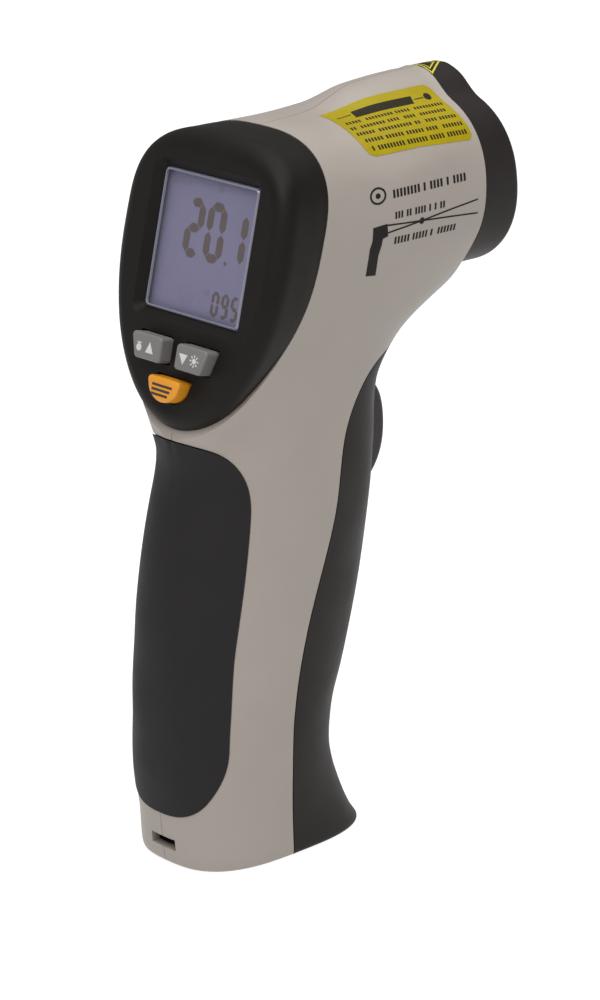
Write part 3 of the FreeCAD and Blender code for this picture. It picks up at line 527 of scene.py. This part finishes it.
def add_side_print():
    """Rows of bars, crossing beams, a plain pictogram and a ring mark on the right side.

    Places are y in mm and degrees from the top of the barrel.
    """
    black = finish("print_black", (0.010, 0.009, 0.008), 0.6, mottle=0.08, cloud=3.0,
                   specular=0.15)
    ink = round_barrel("right_shell", PRINT_RISE)
    rows = print_row((24.0, 79.9), (45.3, 79.5), 6.2, (8, 1, 4, 1, 4), 1.0)
    rows += print_row((24.4, 91.6), (39.1, 92.0), 5.4, (3, 2, 4, 1, 1, 2), 0.85)
    rows += print_row((24.5, 105.9), (42.9, 107.9), 5.6, (4, 4, 1, 5), 0.95)
    beams = [stroke((22.1, 94.1), (32.2, 96.4), 0.34, 0.9),
             stroke((32.2, 96.4), (48.9, 100.3), 0.34, 0.9),
             stroke((22.4, 98.4), (32.2, 96.4), 0.34, 0.9),
             stroke((32.2, 96.4), (48.5, 91.9), 0.34, 0.9), disc(32.2, 96.4, 0.75, 1.9)]
    pistol = [[(18.1, 93.7), (22.1, 93.2), (22.5, 100.3), (21.0, 101.1), (18.0, 101.1)],
              [(18.0, 101.1), (21.0, 101.1), (20.8, 104.6), (20.1, 109.9), (19.9, 120.2),
               (16.9, 118.9), (17.4, 105.0)]]
    mark = ring_mark(19.8, 76.9)
    for name, outlines in (("print_rows", rows), ("print_beams", beams),
                           ("print_pictogram", pistol), ("print_mark", mark)):
        mesh = flat_shapes(outlines, FINE, ink, PRINT_INK)
        add_piece(name, mesh, black, "housing")


def add_label():
    """Plain yellow label along the side of the laser housing, with a generic layout."""
    yellow = finish("label_yellow", (0.30, 0.235, 0.002), 0.42, mottle=0.06, cloud=7.0,
                    specular=0.16, grain=2.5, depth=0.12)
    black = finish("label_black", (0.016, 0.014, 0.006), 0.55, mottle=0.08, cloud=3.0,
                   specular=0.15)
    outline = [(19.6, 12.6), (26.0, 14.2), (33.0, 15.4), (40.0, 16.0), (46.6, 16.3), (47.9, 18.6),
               (48.5, 24.7), (49.0, 37.2), (49.5, 48.3), (49.6, 55.2), (48.6, 58.0),
               (41.0, 57.0), (34.9, 55.9), (22.4, 55.8), (20.9, 53.8), (20.2, 46.6),
               (19.9, 40.2), (19.7, 29.7)]
    sheet = round_barrel("right_shell", LABEL_RISE)
    mesh = flat_shapes([outline], FINE, sheet, LABEL_SHEET)
    add_piece("side_label", mesh, yellow, "housing")
    header = [[(25.4, 20.4), (41.5, 21.6), (41.0, 27.2), (25.1, 26.6)]]
    header += [box(21.0, 22.6, 24.8, 23.2), box(41.8, 24.0, 44.4, 24.6),
               disc(45.6, 24.2, 0.95, 2.6)]
    rows = []
    for start, end, height, words in (
            ((21.3, 31.0), (47.6, 32.6), 3.0, (5, 8, 5, 9)),
            ((21.0, 36.2), (46.8, 37.8), 3.0, (2, 7, 4, 4, 8)),
            ((21.1, 41.2), (48.5, 43.2), 3.0, (5, 9, 2, 3, 5)),
            ((21.9, 46.6), (48.6, 48.8), 3.2, (5, 5, 5, 4, 6)),
            ((22.4, 52.4), (48.6, 54.4), 3.9, (1, 9, 7, 5, 7))):
        rows += print_row(start, end, height, words, 0.82)
    ink = round_barrel("right_shell", LABEL_INK_RISE)
    for name, outlines in (("label_header", header), ("label_rows", rows)):
        mesh = flat_shapes(outlines, FINE, ink, LABEL_INK)
        add_piece(name, mesh, black, "housing")


def add_sticker():
    """Outlined yellow triangle on top of the nose ring, with nothing in it."""
    yellow = finish("sticker_yellow", (0.50, 0.45, 0.03), 0.35, mottle=0.06, cloud=3.0)
    on_ring = round_barrel("nose_ring", PRINT_RISE)
    corners = [(51.5, 11.0), (51.5, -11.0), (58.3, 0.0)]
    middle = (53.8, 0.0)
    outlines = []
    for outer, inner in ((1.0, 0.84), (0.62, 0.5)):
        for index in range(3):
            a, b = corners[index], corners[(index + 1) % 3]
            quad = []
            for corner, scale in ((a, outer), (b, outer), (b, inner), (a, inner)):
                quad.append(tuple(middle[axis] + (corner[axis] - middle[axis]) * scale
                                  for axis in range(2)))
            outlines.append(quad)
    mesh = flat_shapes(outlines, FINE, on_ring, PRINT_INK)
    add_piece("ring_sticker", mesh, yellow, "housing")


# ---------------------------------------------------------------- putting it together
add_camera()
add_studio()
bpy.context.scene.view_settings.view_transform = "Standard"
finishes = make_finishes()
slots = {part["node"]: part["material_slot"] for part in frame["record"]["subparts"]}
for name, node in nodes.items():
    node.data.materials.clear()
    node.data.materials.append(finishes[slots[name]])
add_display()
add_window_edge()
add_key_symbols()
add_side_print()
add_label()
add_sticker()
